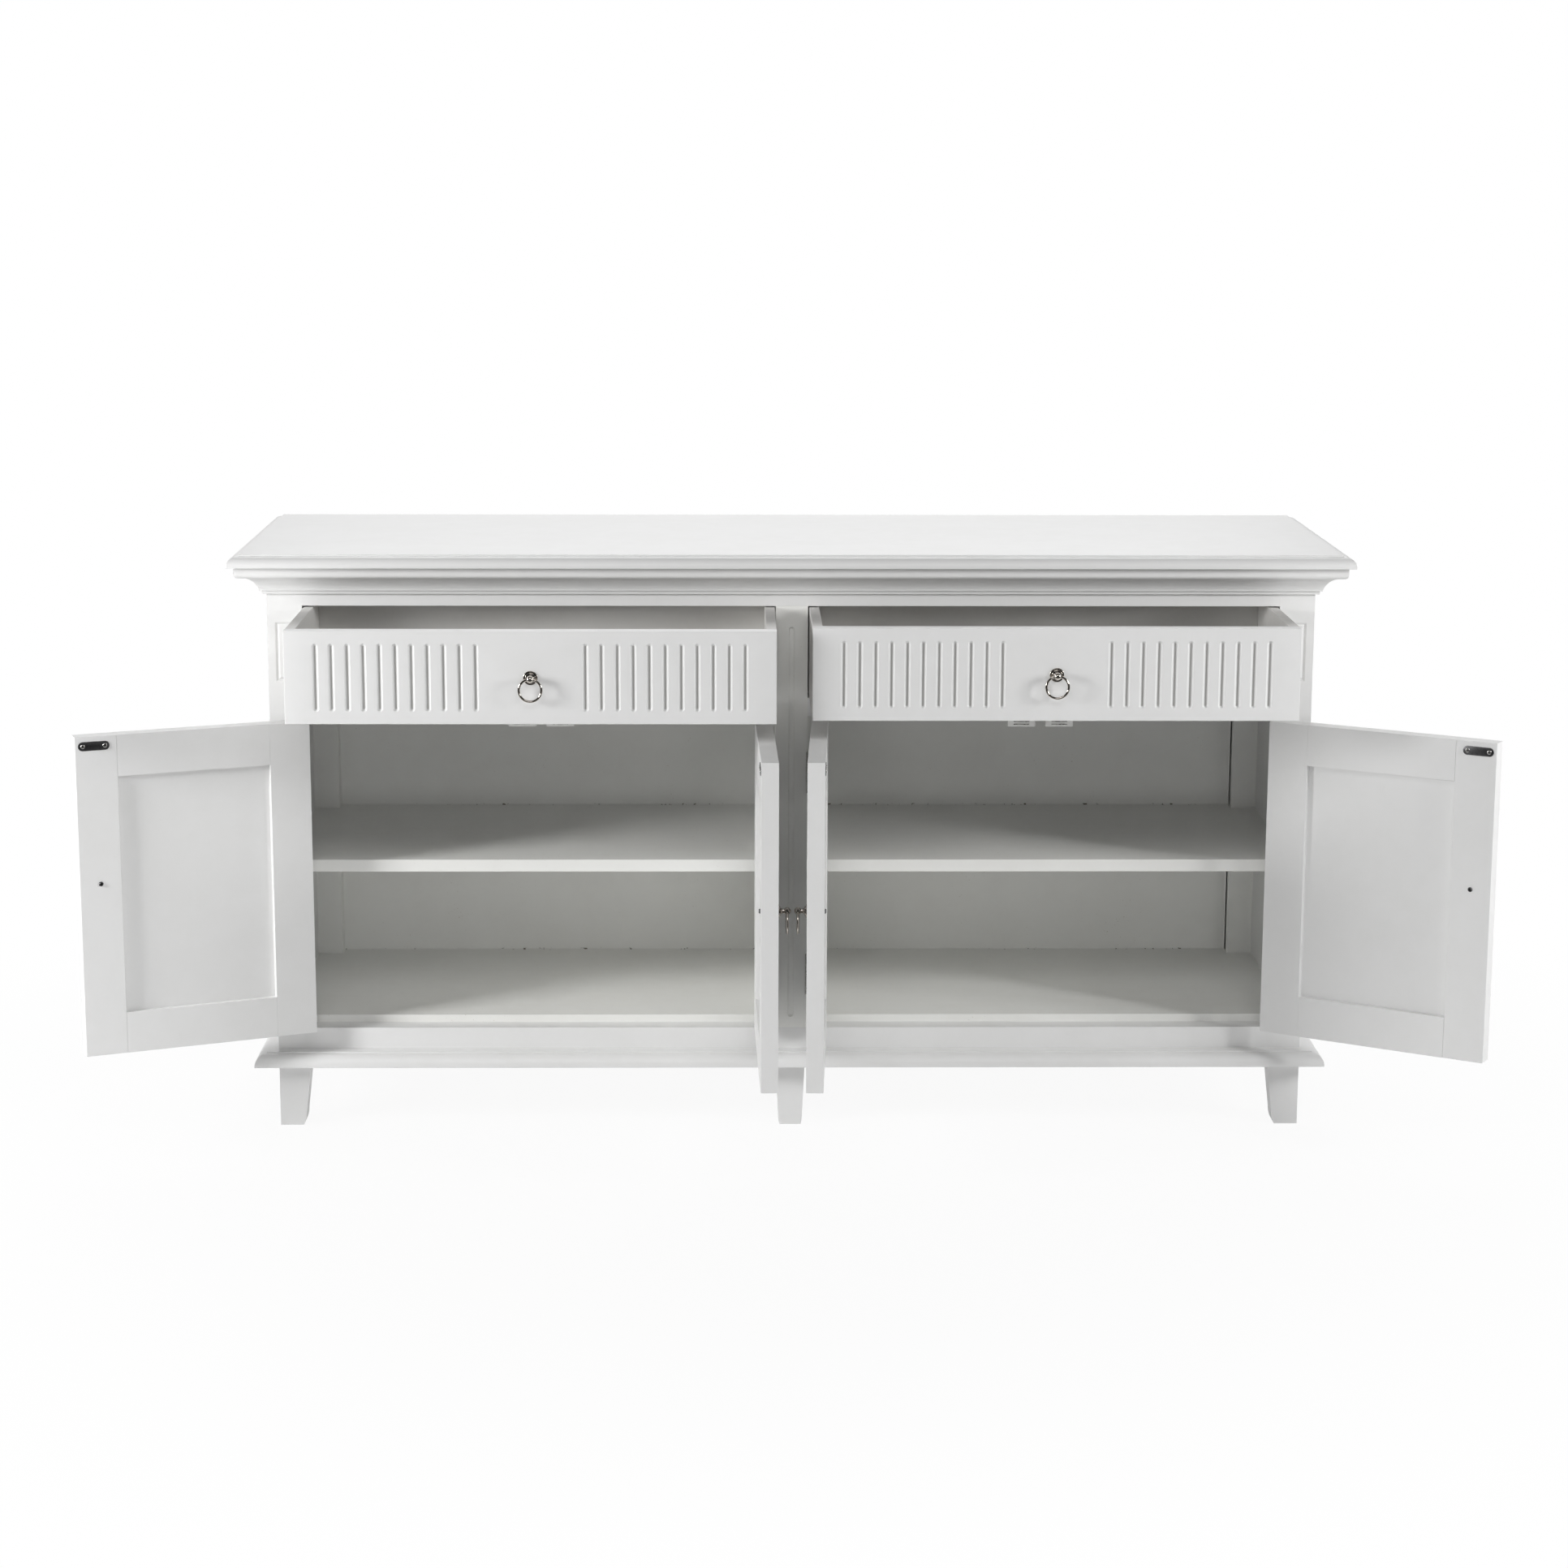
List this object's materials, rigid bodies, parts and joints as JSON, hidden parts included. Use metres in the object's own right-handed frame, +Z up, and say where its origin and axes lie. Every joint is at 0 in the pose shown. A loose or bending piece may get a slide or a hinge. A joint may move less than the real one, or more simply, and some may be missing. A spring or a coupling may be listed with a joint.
{
  "type": "sideboard",
  "caption": "Low painted sideboard on tapered feet with framed cupboard doors, fluted drawers, ring pulls, fixed shelves and a moulded overhanging top.",
  "frame": {"origin": "middle of the sole of the centre front foot, on the floor", "axes": "+X to the right along the length, +Y from the front towards the back, +Z up"},
  "size_m": [1.9945, 0.7924, 0.85],
  "materials": {
    "painted_wood": "satin white paint",
    "painted_interior": "satin white paint",
    "polished_nickel": "polished nickel plate",
    "plated_steel": "plated",
    "dark_steel": "brushed",
    "catch_case": "matt white"
  },
  "bodies": {
    "carcass": {"top_board": "painted_wood", "cornice_moulding": "painted_wood", "base_moulding": "painted_wood", "front_posts": "painted_wood", "centre_stile": "painted_wood", "centre_foot": "painted_wood", "front_rails": "painted_wood", "drawer_rails": "painted_wood", "back_posts": "painted_wood", "side_panels": "painted_interior", "carcass_rails": "painted_wood", "back_panel": "painted_interior", "partition": "painted_interior", "floor_boards": "painted_interior", "shelves": "painted_interior", "shelf_cleats": "painted_interior", "drawer_runners": "painted_interior", "magnet_catches": "catch_case", "fixed_hinge_leaves": "plated_steel", "hinge_pins": "plated_steel"},
    "outer_door_left": {"outer_door_left_stiles": "painted_wood", "outer_door_left_rails": "painted_wood", "outer_door_left_panel": "painted_wood", "outer_door_left_strike_plate": "dark_steel", "outer_door_left_hinge_leaves": "plated_steel", "outer_door_left_pull_mount": "polished_nickel"},
    "outer_door_left_ring": {"outer_door_left_ring": "polished_nickel"},
    "outer_door_right": {"outer_door_right_stiles": "painted_wood", "outer_door_right_rails": "painted_wood", "outer_door_right_panel": "painted_wood", "outer_door_right_strike_plate": "dark_steel", "outer_door_right_hinge_leaves": "plated_steel", "outer_door_right_pull_mount": "polished_nickel"},
    "outer_door_right_ring": {"outer_door_right_ring": "polished_nickel"},
    "inner_door_left": {"inner_door_left_stiles": "painted_wood", "inner_door_left_rails": "painted_wood", "inner_door_left_panel": "painted_wood", "inner_door_left_strike_plate": "dark_steel", "inner_door_left_hinge_leaves": "plated_steel", "inner_door_left_pull_mount": "polished_nickel"},
    "inner_door_left_ring": {"inner_door_left_ring": "polished_nickel"},
    "inner_door_right": {"inner_door_right_stiles": "painted_wood", "inner_door_right_rails": "painted_wood", "inner_door_right_panel": "painted_wood", "inner_door_right_strike_plate": "dark_steel", "inner_door_right_hinge_leaves": "plated_steel", "inner_door_right_pull_mount": "polished_nickel"},
    "inner_door_right_ring": {"inner_door_right_ring": "polished_nickel"},
    "drawer_left": {"drawer_left_front": "painted_wood", "drawer_left_sides": "painted_interior", "drawer_left_back": "painted_interior", "drawer_left_bottom": "painted_interior", "drawer_left_pull_mount": "polished_nickel"},
    "drawer_left_ring": {"drawer_left_ring": "polished_nickel"},
    "drawer_right": {"drawer_right_front": "painted_wood", "drawer_right_sides": "painted_interior", "drawer_right_back": "painted_interior", "drawer_right_bottom": "painted_interior", "drawer_right_pull_mount": "polished_nickel"},
    "drawer_right_ring": {"drawer_right_ring": "polished_nickel"}
  },
  "joints": [
    {"name": "outer_door_left_hinge", "type": "hinge", "parent": "carcass", "child": "outer_door_left", "pos_m": [-0.699, -0.019, 0.38], "axis": [0, 0, -1], "range_deg": [-157.7, 17.3]},
    {"name": "outer_door_left_ring_swing", "type": "hinge", "parent": "outer_door_left", "child": "outer_door_left_ring", "pos_m": [-0.98589, -0.12855, 0.399], "axis": [0.9252, 0.3795, 0], "range_deg": [-18, 198]},
    {"name": "outer_door_right_hinge", "type": "hinge", "parent": "carcass", "child": "outer_door_right", "pos_m": [0.699, -0.019, 0.38], "axis": [0, 0, 1], "range_deg": [-149.4, 25.6]},
    {"name": "outer_door_right_ring_swing", "type": "hinge", "parent": "outer_door_right", "child": "outer_door_right_ring", "pos_m": [0.96707, -0.16882, 0.399], "axis": [0.8607, -0.509, 0], "range_deg": [-18, 198]},
    {"name": "inner_door_left_hinge", "type": "hinge", "parent": "carcass", "child": "inner_door_left", "pos_m": [-0.024, -0.019, 0.38], "axis": [0, 0, 1], "range_deg": [-91, 0]},
    {"name": "inner_door_left_ring_swing", "type": "hinge", "parent": "inner_door_left", "child": "inner_door_left_ring", "pos_m": [-0.01114, -0.32582, 0.399], "axis": [0.0175, -0.9998, 0], "range_deg": [-18, 9]},
    {"name": "inner_door_right_hinge", "type": "hinge", "parent": "carcass", "child": "inner_door_right", "pos_m": [0.024, -0.019, 0.38], "axis": [0, 0, -1], "range_deg": [-92.4, 0]},
    {"name": "inner_door_right_ring_swing", "type": "hinge", "parent": "inner_door_right", "child": "inner_door_right_ring", "pos_m": [0.00365, -0.32542, 0.399], "axis": [0.0419, 0.9991, 0], "range_deg": [-18, 9]},
    {"name": "drawer_left_slide", "type": "slide", "parent": "carcass", "child": "drawer_left", "axis": [0, -1, 0], "range_m": [-0.225, 0.025]},
    {"name": "drawer_left_ring_swing", "type": "hinge", "parent": "drawer_left", "child": "drawer_left_ring", "pos_m": [-0.3615, -0.2515, 0.7055], "axis": [-1, 0, 0], "range_deg": [-18, 198]},
    {"name": "drawer_right_slide", "type": "slide", "parent": "carcass", "child": "drawer_right", "axis": [0, -1, 0], "range_m": [-0.198, 0.052]},
    {"name": "drawer_right_ring_swing", "type": "hinge", "parent": "drawer_right", "child": "drawer_right_ring", "pos_m": [0.3615, -0.2245, 0.7055], "axis": [-1, 0, 0], "range_deg": [-18, 198]}
  ]
}
